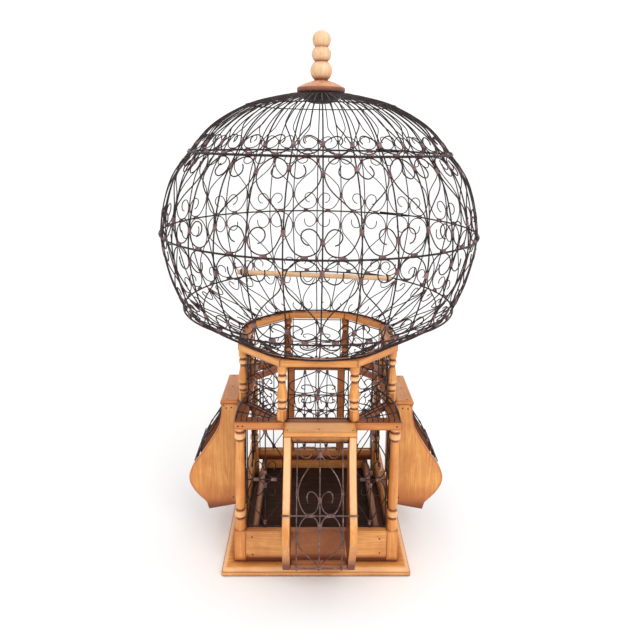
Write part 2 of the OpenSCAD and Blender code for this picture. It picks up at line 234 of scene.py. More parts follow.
def lathe(mesh, profile, centre=(0, 0), segments=40, axis=2, base=0.0, tone=None):
    """A turned solid from (radius, height) points, on the Z axis through centre."""
    profile = np.array(profile, float)
    turns = np.arange(segments) * 2 * math.pi / segments
    verts = np.array([(r * math.cos(a), r * math.sin(a), z) for r, z in profile for a in turns])
    faces = band_faces(len(profile), segments) + end_faces(len(profile), segments)
    grain = verts[:, [2, 0, 1]] + noise.uniform(-400, 400, 3)
    if axis == 0:
        verts = verts[:, [2, 0, 1]]
    elif axis == 1:
        verts = verts[:, [1, 2, 0]]
    verts = verts + np.array([centre[0], centre[1], base])
    mesh.add(verts, faces, grain, None if tone is None else np.repeat(tone, segments))


EDGE_FADE = 3.5


def bevelled(verts, faces, width, cuts=(), tone_at=None):
    """The closed form with its edges rounded, as verts, faces and tones.

    The tone is 1 on the rounded edges and 0 a little way in. cuts are (axis, place) planes that
    add vertices, and tone_at(place, edge tone) can set the tone anywhere.
    """
    bm = bmesh.new()
    made = [bm.verts.new(v) for v in verts]
    for f in faces:
        bm.faces.new([made[i] for i in f])
    bmesh.ops.recalc_face_normals(bm, faces=bm.faces)
    sharp = [e for e in bm.edges if e.is_manifold and e.calc_face_angle() > math.radians(25)]
    bmesh.ops.bevel(bm, geom=sharp, offset=width, segments=2, profile=0.6, affect="EDGES",
                    clamp_overlap=True)
    edge = bm.verts.layers.float.new("edge")
    rim = set(bm.verts)
    for v in rim:
        v[edge] = 1.0
    for face in [f for f in bm.faces if f.calc_area() > 50]:
        across = 2 * face.calc_area() / face.calc_perimeter()
        bmesh.ops.inset_individual(bm, faces=[face], thickness=min(EDGE_FADE, 0.3 * across),
                                   use_even_offset=True)
    for v in bm.verts:
        if v not in rim:
            v[edge] = 0.0
    for axis, place in cuts:
        point, normal = [0, 0, 0], [0, 0, 0]
        point[axis], normal[axis] = place, 1
        everything = bm.verts[:] + bm.edges[:] + bm.faces[:]
        bmesh.ops.bisect_plane(bm, geom=everything, plane_co=point, plane_no=normal)
    bmesh.ops.recalc_face_normals(bm, faces=bm.faces)
    bm.verts.index_update()
    tones = [tone_at(v.co, v[edge]) if tone_at else v[edge] for v in bm.verts]
    out = [tuple(v.co) for v in bm.verts], [tuple(v.index for v in f.verts) for f in bm.faces], tones
    bm.free()
    return out


def grain_of(verts, axis, turn=0.0):
    """Grain coordinates: along the board's length first, then across it."""
    v = np.array(verts, float)
    if turn:
        c, s = math.cos(turn), math.sin(turn)
        v = v @ np.array([[c, -s, 0], [s, c, 0], [0, 0, 1]])
    order = {0: [0, 1, 2], 1: [1, 2, 0], 2: [2, 0, 1]}[axis]
    return v[:, order] + noise.uniform(-400, 400, 3)


def board(mesh, low, high, grain=0, edge=1.2, cuts=(), tone_at=None):
    """A sawn board between two corners, its edges rounded by hand."""
    x0, y0, z0 = low
    x1, y1, z1 = high
    verts = [(x, y, z) for z in (z0, z1) for y in (y0, y1) for x in (x0, x1)]
    faces = [(0, 2, 3, 1), (4, 5, 7, 6), (0, 1, 5, 4), (2, 6, 7, 3), (0, 4, 6, 2), (1, 3, 7, 5)]
    verts, faces, tones = bevelled(verts, faces, edge, cuts, tone_at)
    mesh.add(verts, faces, grain_of(verts, grain), tones)


def prism(mesh, outline, place, thickness, grain=0, edge=1.0, turn=0.0, cuts=(), tone_at=None):
    """An outline of (a, b) points, thickened. place maps (a, b, depth) to x, y, z."""
    n = len(outline)
    verts = [place(a, b, d) for d in (0, thickness) for a, b in outline]
    faces = [tuple(range(n))[::-1], tuple(range(n, 2 * n))]
    faces += [(i, (i + 1) % n, n + (i + 1) % n, n + i) for i in range(n)]
    verts, faces, tones = bevelled(verts, faces, edge, cuts, tone_at)
    mesh.add(verts, faces, grain_of(verts, grain, turn), tones)


def turned(points, angle):
    """Points turned about the Z axis by an angle in degrees."""
    a = math.radians(angle)
    c, s = math.cos(a), math.sin(a)
    p = np.array(points, float)
    return np.column_stack([c * p[:, 0] - s * p[:, 1], s * p[:, 0] + c * p[:, 1], p[:, 2]])


def turn_mesh(mesh, angle, first=0, shift=0.0):
    """Shifts along X, then turns, what has been added to the mesh since its part number first."""
    for i in range(first, len(mesh.verts)):
        mesh.verts[i] = turned(mesh.verts[i] + np.array([shift, 0, 0]), angle)


# ---------- materials ----------

class Nodes:
    """A short way to build a material's node tree."""

    def __init__(self, name):
        self.material = bpy.data.materials.new(name)
        self.material.use_nodes = True
        self.tree = self.material.node_tree
        self.tree.nodes.clear()
        self.shader = self.new("ShaderNodeBsdfPrincipled")
        out = self.new("ShaderNodeOutputMaterial")
        self.link(self.shader, "BSDF", out, "Surface")

    def new(self, kind, **settings):
        node = self.tree.nodes.new(kind)
        for key, value in settings.items():
            if hasattr(node, key):
                setattr(node, key, value)
            else:
                node.inputs[key].default_value = value
        return node

    def link(self, a, out, b, into):
        self.tree.links.new(a.outputs[out], b.inputs[into])

    def set(self, **values):
        for key, value in values.items():
            self.shader.inputs[key.replace("_", " ")].default_value = value

    def scaled(self, source, out, scale):
        mapping = self.new("ShaderNodeMapping", Scale=scale)
        self.link(source, out, mapping, "Vector")
        return mapping

    def grain(self, scale):
        return self.scaled(self.new("ShaderNodeAttribute", attribute_name="grain"), "Vector", scale)

    def place(self, scale):
        return self.scaled(self.new("ShaderNodeTexCoord"), "Object", (scale, scale, scale))

    def noise(self, at, detail, roughness, distortion=0.0):
        node = self.new("ShaderNodeTexNoise", Scale=1.0, Detail=detail, Roughness=roughness,
                        Distortion=distortion)
        self.link(at, "Vector", node, "Vector")
        return node

    def ramp(self, source, out, stops):
        node = self.new("ShaderNodeValToRGB")
        ramp = node.color_ramp
        while len(ramp.elements) < len(stops):
            ramp.elements.new(0.5)
        for element, (place, colour) in zip(ramp.elements, stops):
            element.position = place
            element.color = (*colour, 1) if not isinstance(colour, float) else (colour, colour, colour, 1)
        self.link(source, out, node, "Fac")
        return node

    def math(self, operation, a, b, c=None, clamp=False):
        """A math node of outputs, nodes or numbers."""
        node = self.new("ShaderNodeMath", operation=operation, use_clamp=clamp)
        for socket, value in enumerate((a, b, c)):
            if isinstance(value, tuple):
                self.tree.links.new(value[0].outputs[value[1]], node.inputs[socket])
            elif hasattr(value, "outputs"):
                self.tree.links.new(value.outputs[0], node.inputs[socket])
            elif value is not None:
                node.inputs[socket].default_value = value
        return node

    def mix(self, amount, a, b, mode="MIX"):
        """Mixes two colour outputs by an output or a number."""
        node = self.new("ShaderNodeMix", data_type="RGBA", blend_type=mode)
        for value, socket in ((amount, 0), (a, 6), (b, 7)):
            if isinstance(value, tuple) and hasattr(value[0], "outputs"):
                self.tree.links.new(value[0].outputs[value[1]], node.inputs[socket])
            elif isinstance(value, tuple):
                node.inputs[socket].default_value = (*value, 1)
            else:
                node.inputs[socket].default_value = value
        return node, 2

    def bump(self, source, out, strength, distance):
        node = self.new("ShaderNodeBump", Strength=strength, Distance=distance)
        self.link(source, out, node, "Height")
        self.link(node, "Normal", self.shader, "Normal")

    def colour(self, pair):
        self.tree.links.new(pair[0].outputs[pair[1]], self.shader.inputs["Base Color"])


def wood(name, light, mid, dark, grime_and_shade, worn=(0.90, 0.60, 0.34), gloss=0.36, stain=0.5, coat=0.22,
         specular=0.35):
    """Varnished pine: growth lines, fibres, uneven stain, stained edges, painted shade in the corners, and the
    tone's stain, wear, painted shade and painted highlight.
    """
    m = Nodes(name)
    lines = m.noise(m.grain((0.003, 0.055, 0.055)), 2.5, 0.5, 1.1)
    rings = m.math("MULTIPLY", (lines, "Fac"), 6.0)
    bands = m.math("PINGPONG", (rings, 0), 0.5)
    deep_line = tuple(0.55 * a + 0.45 * b for a, b in zip(mid, dark))
    growth = m.ramp(bands, 0, [(0.0, light), (0.26, mid), (0.44, mid), (0.5, deep_line)])
    fibres = m.noise(m.grain((0.03, 1.3, 1.3)), 4.0, 0.6)
    fibre_tone = m.ramp(fibres, "Fac", [(0.3, 0.86), (0.62, 1.05)])
    toned = m.mix(0.6, (growth, "Color"), (fibre_tone, "Color"), "MULTIPLY")
    patches = m.noise(m.place(13.0), 4.0, 0.65)
    patch_mask = m.ramp(patches, "Fac", [(0.44, 0.0), (0.72, stain)])
    blush_mask = m.ramp(m.noise(m.place(24.0), 3.0, 0.6), "Fac", [(0.46, 0.0), (0.66, 0.34)])
    blushed = m.mix((blush_mask, "Color"), toned, dark)
    stained = m.mix((patch_mask, "Color"), blushed, m.mix(0.8, toned, dark))
    specks = m.noise(m.place(230.0), 4.0, 0.7)
    blots = m.noise(m.place(48.0), 5.0, 0.65)
    # A high tone darkens the wood and a low tone makes it paler. On some pieces this is real stain and wear;
    # on others it is painted shade and painted highlight.
    tone = m.new("ShaderNodeAttribute", attribute_name="tone")
    patchy = m.math("MULTIPLY", (patches, "Fac"), -0.35)
    wear_and_highlight_mask = m.math("MULTIPLY_ADD", (tone, "Fac"), -1.35, patchy, clamp=True)
    wear_and_highlight = m.mix((wear_and_highlight_mask, 0), stained, worn)
    stain_and_shade_tone = m.math("MULTIPLY", (tone, "Fac"), 1.35)
    soak_and_shade = m.math("MULTIPLY_ADD", (blots, "Fac"), -0.9, stain_and_shade_tone, clamp=True)
    stained_and_shaded = m.mix((soak_and_shade, 0), wear_and_highlight, dark)
    deep = m.math("MULTIPLY_ADD", (tone, "Fac"), 2.5, -1.9, clamp=True)
    deep_stain_and_shade = m.mix((m.math("MULTIPLY", (deep, 0), 0.75), 0), stained_and_shaded, grime_and_shade)
    # Painted shade: ambient occlusion darkens the colour towards the darkest colour in corners and creases,
    # mixed with real dirt specks.
    shade = m.new("ShaderNodeAmbientOcclusion", samples=6, only_local=False, Distance=12 * MM)
    corners = m.ramp(shade, "AO", [(0.2, 1.0), (0.9, 0.0)])
    speck_mask = m.ramp(specks, "Fac", [(0.35, 0.45), (0.62, 1.0)])
    corner_shade_and_specks = m.mix(1.0, (corners, "Color"), (speck_mask, "Color"), "MULTIPLY")
    m.colour(m.mix(corner_shade_and_specks, deep_stain_and_shade, grime_and_shade))
    rough = m.ramp(fibres, "Fac", [(0.3, gloss + 0.16), (0.7, gloss)])
    m.link(rough, "Color", m.shader, "Roughness")
    m.set(Coat_Weight=coat, Coat_Roughness=0.3, Specular_IOR_Level=specular)
    height = m.mix(0.5, (fibres, "Fac"), (specks, "Fac"))
    m.bump(height[0], height[1], 0.3, 0.5 * MM)
    return m.material


def iron(name, base, rust, glint, metal=0.55, rough=0.5):
    """Old dark wire: brown-black skin with rust bloom, painted glint spots and paler worn spots."""
    m = Nodes(name)
    blooms = m.noise(m.place(95.0), 4.0, 0.65)
    worn = m.noise(m.place(420.0), 3.0, 0.6)
    skin = m.ramp(blooms, "Fac", [(0.38, base), (0.58, rust), (0.75, glint)])
    flecks = m.ramp(worn, "Fac", [(0.35, 0.6), (0.7, 1.35)])
    m.colour(m.mix(0.8, (skin, "Color"), (flecks, "Color"), "MULTIPLY"))
    roughness = m.ramp(worn, "Fac", [(0.3, rough + 0.15), (0.7, rough - 0.1)])
    m.link(roughness, "Color", m.shader, "Roughness")
    m.set(Metallic=metal)
    m.bump(worn, "Fac", 0.5, 0.25 * MM)
    return m.material


HONEY = wood("honey_pine", (0.78, 0.375, 0.105), (0.69, 0.285, 0.068), (0.42, 0.11, 0.022),
             (0.060, 0.014, 0.008))
WALL_WOOD = wood("wall_pine", (0.81, 0.41, 0.13), (0.72, 0.32, 0.088), (0.33, 0.08, 0.022),
                 (0.075, 0.016, 0.009))
RED_HONEY = wood("red_pine", (0.46, 0.145, 0.045), (0.36, 0.095, 0.028), (0.15, 0.034, 0.013),
                 (0.030, 0.008, 0.005), worn=(0.60, 0.26, 0.12), stain=0.7)
PALE = wood("pale_pine", (0.80, 0.58, 0.37), (0.74, 0.48, 0.27), (0.44, 0.17, 0.065),
            (0.14, 0.045, 0.02), worn=(0.86, 0.66, 0.46), gloss=0.5, stain=0.35, coat=0.1)
CAP_WOOD = wood("cap_stain", (0.80, 0.42, 0.24), (0.68, 0.31, 0.16), (0.26, 0.07, 0.035),
                (0.06, 0.018, 0.012), gloss=0.45, stain=0.6, coat=0.15)
TRAY_WOOD = wood("tray_stain", (0.058, 0.026, 0.015), (0.036, 0.016, 0.010), (0.014, 0.007, 0.005),
                 (0.009, 0.005, 0.004), gloss=0.65, stain=0.6, coat=0.0, specular=0.08)
RIM_WOOD = wood("tray_rim_pine", (0.42, 0.19, 0.08), (0.33, 0.13, 0.05), (0.12, 0.035, 0.016),
                (0.03, 0.009, 0.006))
IRON = iron("dark_iron", (0.012, 0.007, 0.007), (0.040, 0.019, 0.018), (0.11, 0.060, 0.058))
# The sleeves' iron is painted paler than the wire, a painted highlight where the sleeves catch the light.
LIT_CLIP = iron("clip_iron_painted_highlight", (0.07, 0.036, 0.036), (0.19, 0.10, 0.098), (0.40, 0.26, 0.265), 0.4, 0.42)
# A paler copy of the wire for the front door, painted lighter as highlight; the side doors keep the dark wire.
LIT_DOOR_IRON = iron("door_iron_painted_highlight", (0.055, 0.030, 0.027), (0.17, 0.095, 0.086), (0.40, 0.26, 0.245), 0.35, 0.45)
HUB = iron("hub_black", (0.006, 0.005, 0.005), (0.012, 0.008, 0.008), (0.026, 0.018, 0.018), 0.3, 0.6)


# ---------- the dome's surface ----------

FOOT_Z = DRUM_TOP + 1.5
LOWER_Z, EQUATOR_Z, SHOULDER_Z, CROWN_Z, COLLAR_Z = 412.0, 535.0, 663.0, 738.0, 756.0
RIB_R, RING_R, SCROLL_R = 1.05, 1.45, 0.92
SKIRT = [(126, FOOT_Z), (154, 364.5), (183, 381), (207, 396.5), (225, LOWER_Z)]
BELL = [(225, LOWER_Z), (247, 465), (260, EQUATOR_Z), (245, 613), (213, SHOULDER_Z), (176, 706),
        (122, CROWN_Z), (70, 753), (HUB_R, 758)]
PROFILE = np.vstack([smooth(SKIRT), smooth(BELL)[1:]])
STEP_AZ = 11.25
RIBS = 32


def dome_radius(z):
    return np.interp(z, PROFILE[:, 1], PROFILE[:, 0])


def dome_normal(z):
    """The outward direction of the dome's surface as (radial, vertical)."""
    d = 2.0
    dr = dome_radius(z + d) - dome_radius(z - d)
    n = np.array([2 * d, -dr])
    return n / np.linalg.norm(n)


def on_dome(az, z, out=0.0):
    n = dome_normal(z)
    r = dome_radius(z) + out * n[0]
    a = math.radians(az)
    return np.array([r * math.sin(a), -r * math.cos(a), z + out * n[1]])


# Half a motif between an even upright, u = 0, and the next odd one, u = 1, as (u, z).
UPPER_SCROLL = [(0.32, 552), (0.43, 554), (0.52, 560), (0.52, 566), (0.45, 570.5), (0.29, 572.5),
                (0.14, 569), (0.04, 562), (0, 556), (0.04, 548), (0.12, 542.7), (0.26, 538.8),
                (0.45, 537.4), (0.64, 540), (0.79, 546.5), (0.91, 556), (1, 567), (0.98, 578),
                (0.92, 588), (0.78, 596), (0.59, 605), (0.33, 615), (0.14, 624), (0.03, 633),
                (0, 641), (0.05, 648), (0.16, 654), (0.32, 659), (0.5, 660.8), (0.75, 658.5),
                (0.93, 653), (1, 647), (0.97, 641), (0.88, 637), (0.73, 634.6), (0.58, 636.6),
                (0.48, 641), (0.5, 647), (0.57, 651)]
LOWER_SCROLL = [(0.54, 517), (0.53, 509), (0.45, 503), (0.3, 500.5), (0.14, 503.5), (0.04, 508.5),
                (0, 515), (0.04, 521), (0.13, 527), (0.27, 531), (0.45, 532.6), (0.64, 530.5),
                (0.79, 526), (0.91, 519), (0.98, 511), (1, 504.5), (0.97, 496), (0.89, 488),
                (0.7, 479), (0.5, 470), (0.31, 461), (0.13, 450), (0.03, 441), (0, 433),
                (0.06, 426), (0.2, 419), (0.45, 415), (0.72, 417), (0.92, 422), (1, 428),
                (0.96, 434), (0.85, 438), (0.7, 438.5), (0.58, 435), (0.52, 430), (0.58, 425)]
FOOT_SCROLL = [(0.40, 401), (0.46, 405), (0.56, 406.5), (0.66, 404), (0.66, 398), (0.52, 393),
               (0.3, 394), (0.12, 400), (0, 407), (0, 402), (0.1, 395), (0.34, 386), (0.62, 378),
               (0.86, 370), (1, 362), (0.9, 357), (0.6, 354.6), (0.35, 357), (0.3, 361), (0.42, 364)]
CROWN_SCROLL = [(0.62, 679), (0.70, 683), (0.66, 688), (0.5, 690), (0.3, 688), (0.08, 683),
                (0, 678), (0.08, 672), (0.25, 667.5), (0.5, 665.6), (0.75, 667.5), (0.92, 672),
                (1, 678), (0.92, 685), (0.78, 693), (0.60, 701), (0.52, 706), (0.5, 714),
                (0.5, 726), (0.5, 737)]


def scroll(mesh, knots, cell, side):
    """One half motif beside the even upright of a cell, mirrored for side -1."""
    path = smooth(knots, 5)
    shift = noise.normal(0, 0.012)
    lift = noise.normal(0, 0.5)
    points = []
    for u, z in path:
        r = dome_radius(z)
        gap = math.degrees((RIB_R + SCROLL_R) / r)
        free = math.sin(math.pi * min(max(u, 0), 1))
        u = u + shift * free
        az = cell * 2 * STEP_AZ + side * (gap + u * (STEP_AZ - 2 * gap))
        points.append(on_dome(az, z + lift * free, 0.0))
    tube(mesh, resample(points, 2.6), SCROLL_R, 7)


def ferrule(mesh, centre, along_dir, out_dir, length=9.0, width=6.6, depth=3.2):
    """A strip of iron crimped round two or three wires: a flattened sleeve with turned-in lips."""
    t = np.array(along_dir, float)
    t /= np.linalg.norm(t)
    o = np.array(out_dir, float)
    o = o - o.dot(t) * t
    o /= np.linalg.norm(o)
    s = np.cross(t, o)
    sides = 10
    stations = [(-0.5, 0.80), (-0.47, 0.97), (-0.3, 1.0), (0, 0.95), (0.3, 1.0), (0.47, 0.97), (0.5, 0.80)]
    verts = []
    for share, fat in stations:
        for k in range(sides):
            a = 2 * math.pi * (k + 0.5) / sides
            x = math.copysign(abs(math.cos(a)) ** 0.6, math.cos(a)) * width / 2 * fat
            y = math.copysign(abs(math.sin(a)) ** 0.7, math.sin(a)) * depth / 2 * fat
            verts.append(centre + t * share * length + s * x + o * y)
    mesh.add(verts, band_faces(len(stations), sides) + end_faces(len(stations), sides))


def dome_ribs():
    mesh = Mesh()
    for i in range(RIBS):
        wobble = noise.normal(0, 0.12, len(PROFILE))
        az = i * STEP_AZ + noise.normal(0, 0.10)
        sway = np.convolve(wobble, np.ones(7) / 7, "same")
        points = [on_dome(az + 0.3 * w, z) for w, z in zip(sway, PROFILE[:, 1])]
        tube(mesh, resample(points, 6.0), RIB_R, 8)
    mesh.wires("dome_uprights", ["foot_ribs", "lower_ribs", "upper_ribs", "crown_ribs"])


def ring(name, z, radius, node, out=2.3, overlap=14.0):
    """A ring wire whose two ends lie side by side for a short way."""
    mesh = Mesh()
    start = noise.uniform(100, 250)
    turn = 360 + overlap
    points = []
    for k in range(181):
        share = k / 180
        az = start + share * turn
        lift = 2 * radius * max(0, (share - 1 + 2 * overlap / turn) / (2 * overlap / turn))
        points.append(on_dome(az, z, out) + np.array([0, 0, lift - radius]))
    tube(mesh, points, radius, 8)
    mesh.wires(name, [node])


def dome_rings():
    ring("foot_ring_wire", FOOT_Z + 3, RING_R, "foot_ring", 2.2)
    ring("lower_ring_wire", LOWER_Z, RING_R, "lower_ring", 2.4)
    ring("equator_ring_wire", EQUATOR_Z, RING_R, "equator_ring", 2.4)
    ring("shoulder_ring_wire", SHOULDER_Z, RING_R + 0.35, "shoulder_ring", 2.6)
    ring("crown_ring_wire", CROWN_Z, 0.95, "crown_ring", 2.0)
    ring("collar_ring_wire", COLLAR_Z, 0.7, "collar_ring", 1.8)


def dome_scrolls():
    for name, knots, replaced in (("foot_scrolls", FOOT_SCROLL, ()),
                                  ("lower_scrolls", LOWER_SCROLL, ["lower_hearts"]),
                                  ("upper_scrolls", UPPER_SCROLL, ["upper_hearts"]),
                                  ("crown_scrolls", CROWN_SCROLL, ())):
        mesh = Mesh()
        for cell in range(RIBS // 2):
            for side in (-1, 1):
                scroll(mesh, knots, cell, side)
        mesh.wires(name, replaced)
    # The crown's in-between wires run on from the scrolls' kinks up to the hub.
    mesh = Mesh()
    for i in range(RIBS):
        az = (i + 0.5) * STEP_AZ + noise.normal(0, 0.15)
        points = [on_dome(az, z, 0.3) for z in np.linspace(CROWN_Z - 2, 757.5, 14)]
        tube(mesh, points, SCROLL_R, 7)
    mesh.wires("crown_spokes")


def dome_ferrules():
    mesh = Mesh()
    on_upright = [(0, 556), (1, 567), (0, 641), (1, 647.5), (0, 515), (1, 504.5), (0, 433), (1, 428),
                  (0, 404), (1, 362), (0, 678), (1, 678)]
    for cell in range(RIBS // 2):
        for odd, z in on_upright:
            az = (2 * cell + odd) * STEP_AZ
            z = z + noise.normal(0, 0.6)
            centre = on_dome(az, z)
            n = dome_normal(z)
            a = math.radians(az)
            out = np.array([n[0] * math.sin(a), -n[0] * math.cos(a), n[1]])
            ferrule(mesh, centre, on_dome(az, z + 2) - on_dome(az, z - 2), out)
        for z in (LOWER_Z, EQUATOR_Z, SHOULDER_Z):
            for side in (-0.47, 0.47):
                az = (2 * cell + side) * STEP_AZ + noise.normal(0, 0.15)
                a = math.radians(az)
                out = np.array([math.sin(a), -math.cos(a), 0])
                ferrule(mesh, on_dome(az, z, 1.2), [math.cos(a), math.sin(a), 0], out, 9.5, 6.8, 4.2)
    mesh.piece("crimped_sleeves", LIT_CLIP, "cage", "clip_metal", ["ferrules"])


# ---------- crown ----------

def arc(cx, cz, r, start, end, n=12):
    a = np.radians(np.linspace(start, end, n))
    return np.column_stack([cx + r * np.cos(a), cz + r * np.sin(a)])


# Height, radius and half height of each turned ball of the finial.
FINIAL_BALLS = ((795, 17.8, 15.0), (821.2, 15.9, 12.4), (844.8, 14.9, 14.2))


def crown():
    mesh = Mesh()
    bowl = smooth([(0.5, 742), (14, 743), (24, 746.5), (31, 752), (HUB_R, 756)], 5).tolist()
    lathe(mesh, bowl + [(HUB_R, hub_high[2] - 0.4), (HUB_R - 0.6, hub_high[2])], segments=64)
    mesh.piece("crown_hub_bowl", HUB, "cage", "dark_wire", ["crown_hub"])
    mesh = Mesh()
    z0 = cap_low[2]
    r = cap_high[0]
    rim = [(0.5, z0), (r - 2, z0), (r - 0.6, z0 + 0.6), (r, z0 + 2), (r, z0 + 6), (r - 0.5, z0 + 7.4),
           (r - 2, z0 + 8.3)]
    top = smooth([(r - 2.6, z0 + 8.6), (31, z0 + 11.8), (23, z0 + 15.4), (15, z0 + 17.9), (11, z0 + 19.3)], 5)
    tones = [1.1] * 3 + [1.0, 0.95, 0.8, 0.3] + [0.0] * (len(top) - 3) + [0.4, 0.8, 1]
    lathe(mesh, rim + top.tolist() + [(0.5, z0 + 19.5)], segments=72, tone=tones + [1])
    mesh.piece("turned_cap", CAP_WOOD, "cage", "cap_wood", ["cap"], 60)
    mesh = Mesh()
    profile, tones = [(0.5, 779.6), (10.5, 779.6)], [1, 1]
    for z, radius, half in FINIAL_BALLS:
        top_ball = z == FINIAL_BALLS[-1][0]
        ball = arc(0, 0, 1, -52, 88 if top_ball else 52, 26)
        profile += [(radius * x, z + (half if top_ball and y > 0 else 1.2 * half) * y) for x, y in ball]
        # Painted light: each ball is darker on its underside as painted shade and paler on top as painted
        # highlight.
        tones += [fade(y, (-0.79, -0.5, -0.15, 0.4), (1.05, 0.5, 0.05, -0.25)) for x, y in ball]
        if not top_ball:
            # The necks between the balls are darker: stain with painted shade.
            profile += [(radius * 0.56, z + half * 0.98), (radius * 0.56, z + half * 1.02)]
            tones += [1.1, 1.1]
    profile.append((0.5, 859.6))
    # The finial's top point is painted pale as a highlight.
    lathe(mesh, profile, segments=56, tone=tones + [-0.3])
    mesh.piece("turned_finial", PALE, "cage", "pale_wood", ["finial"], 35)


# ---------- base ----------

def square_loft(mesh, half, profile, corner=3.5, steps=4):
    """A square slab whose edge follows (inset, z, tone) points, with rounded corners."""
    verts, tones = [], []
    for inset, z, tone in profile:
        h = half - inset
        c = max(corner - 0.4 * inset, 0.8)
        for q in range(4):
            for k in range(steps + 1):
                a = math.radians(90 * q + 90 * k / steps)
                cx = (h - c) * (1 if q in (0, 3) else -1)
                cy = (h - c) * (1 if q in (0, 1) else -1)
                verts.append((cx + c * math.cos(a), cy + c * math.sin(a), z))
                tones.append(tone)
    n = 4 * (steps + 1)
    mesh.add(verts, band_faces(len(profile), n) + end_faces(len(profile), n), grain_of(verts, 0), tones)


def base():
    mesh = Mesh()
    t = BOARD_TOP
    # Tones along the edge: the moulding's upward faces are paler, wear with painted highlight; its groove is
    # darker, stain with painted shade; the top darkens towards the walls' foot as painted shade.
    edge_profile = [(1.2, 0, 1), (0.3, 0.5, 0.9), (0, 1.5, 0.3), (0, 3, -0.25), (0, t - 6.4, -0.25),
                    (0.2, t - 5.8, 0.5), (1.1, t - 5.0, 1.0), (1.5, t - 4.4, 0.3), (2.2, t - 3.8, -0.4),
                    (5, t - 1.9, -0.5), (7.6, t - 0.6, -0.3), (9.0, t, 0.3), (12, t, 0.3), (16, t, 0.5),
                    (20, t, 1), (24, t, 1.6), (110, t, 1.6)]
    square_loft(mesh, BASE_H, edge_profile)
    mesh.honey("bevelled_base_board", ["base_board"], 50)
    for side in ("front", "right", "back", "left"):
        low, high = box_mm(side + "_wall")
        sideways = side in ("front", "back")
        mesh = Mesh()
        foot = low[2]
        behind_door = HATCH_HALF - CHEEK_T + 1

        # The wall is darker towards its foot. The part behind a hatch, between its cheeks, is painted darker
        # as shade, and the back wall's inner face gets painted shade towards the corners.
        def wall_tone(p, edge):
            stain = max(0.6 * edge, fade(p[2], (foot + 1, foot + 6, foot + 15), (1.4, 1.15, 0.0)))
            across = p[0] - FRONT_SHIFT if side == "front" else p[0] if sideways else p[1]
            outer = max(abs(p[0]), abs(p[1])) > wall_high[0] + 8
            if side == "back" and p[1] < wall_high[0] + 10:
                stain = max(stain, fade(abs(p[0]), (50, 90), (0.15, 0.6)))
            if side != "back" and abs(across) < behind_door and (outer or side == "front"):
                stain = max(stain, 0.86)
            return stain
        length_axis = 0 if sideways else 1
        middle = FRONT_SHIFT if side == "front" else 0
        cuts = [(2, foot + 6), (2, foot + 15)]
        cuts += [(length_axis, middle + k * behind_door + d) for k in (-1, 1) for d in (-0.6, 0.6)]
        cuts += [(length_axis, k) for k in (-90, 90)]
        board(mesh, low, high, length_axis, 1.3, cuts, wall_tone)
        mesh.piece(side + "_wall_board", WALL_WOOD, "cage", "honey_wood", [side + "_wall"])
    low, high = tray_low, tray_high
    rim, back_board, floor_z = 9.0, 11.0, 26.0
    mesh = Mesh()
    board(mesh, (low[0] + rim, low[1] + rim, low[2]), (high[0] - rim, high[1] - back_board, floor_z), 0, 0.5,
          tone_at=lambda p, edge: 0.2 * edge)
    mesh.piece("tray_floor", TRAY_WOOD, "tray", "tray_wood", ["floor_tray"])
    mesh = Mesh()
    board(mesh, low, (low[0] + rim, high[1] - back_board, high[2]), 1, 0.8)
    board(mesh, (high[0] - rim, low[1], low[2]), (high[0], high[1] - back_board, high[2]), 1, 0.8)
    board(mesh, (low[0] + rim, low[1], low[2]), (high[0] - rim, low[1] + rim, high[2]), 0, 0.8)
    mesh.piece("tray_rim_strips", RIM_WOOD, "tray", "tray_wood")
    mesh = Mesh()
    board(mesh, (low[0], high[1] - back_board, low[2]), high, 0, 0.8)
    mesh.piece("tray_back_board", HONEY, "tray", "tray_wood")
    mesh = Mesh()
    knob = [(0.4, 0), (4, 0), (3.6, 2), (3.2, 4), (4.6, 6), (6.3, 8), (6.9, 10.4), (6.2, 12.8),
            (4.2, 14.4), (0.4, 15)]
    low, high = box_mm("tray_knob")
    lathe(mesh, smooth(knob, 3), axis=1, segments=32, centre=(0, low[1]), base=(low[2] + high[2]) / 2)
    mesh.piece("turned_tray_knob", HONEY, "tray", "honey_wood", ["tray_knob"])


POST_TURNING = [(8.4, 64), (8.4, 69), (7.4, 80), (6.1, 83.4), (5.9, 85), (6.2, 86.6), (8.0, 87.6),
                (8.6, 90), (8.6, 94), (8.0, 96.6), (6.2, 97.8), (6.0, 99.4), (6.6, 102), (7.5, 110),
                (7.7, 128), (7.6, 150), (7.0, 185), (6.6, 208), (6.1, 215.6), (5.9, 217.4), (6.2, 219),
                (8.0, 220), (8.6, 222.4), (8.6, 226.6), (8.0, 229), (6.2, 230.2), (6.1, 231.6),
                (7.9, 234), (8.4, 236)]


def corner_posts():
    half = (post_high[0] - post_low[0]) / 2
    for name, sx, sy in (("front_left", -1, -1), ("front_right", 1, -1),
                         ("back_left", -1, 1), ("back_right", 1, 1)):
        mesh = Mesh()
        cx, cy = sx * POST_C, sy * POST_C

        def block_tone(p, edge):
            foot = fade(p[2], (BOARD_TOP + 1, BOARD_TOP + 5, BOARD_TOP + 14), (1.1, 0.7, 0.0))
            return max(0.7 * edge, foot)
        board(mesh, (cx - half, cy - half, BOARD_TOP), (cx + half, cy + half, WALL_TOP), 2, 1.2,
              [(2, BOARD_TOP + 5), (2, BOARD_TOP + 14)], block_tone)
        profile = resample(smooth(POST_TURNING + [(8.4, MID_Z)], 4), 0.9)
        lathe(mesh, profile, (cx, cy), 32, tone=relief(profile))
        mesh.honey(name + "_turned_post", [name + "_post"], 50)


# ---------- middle frame and drum ----------

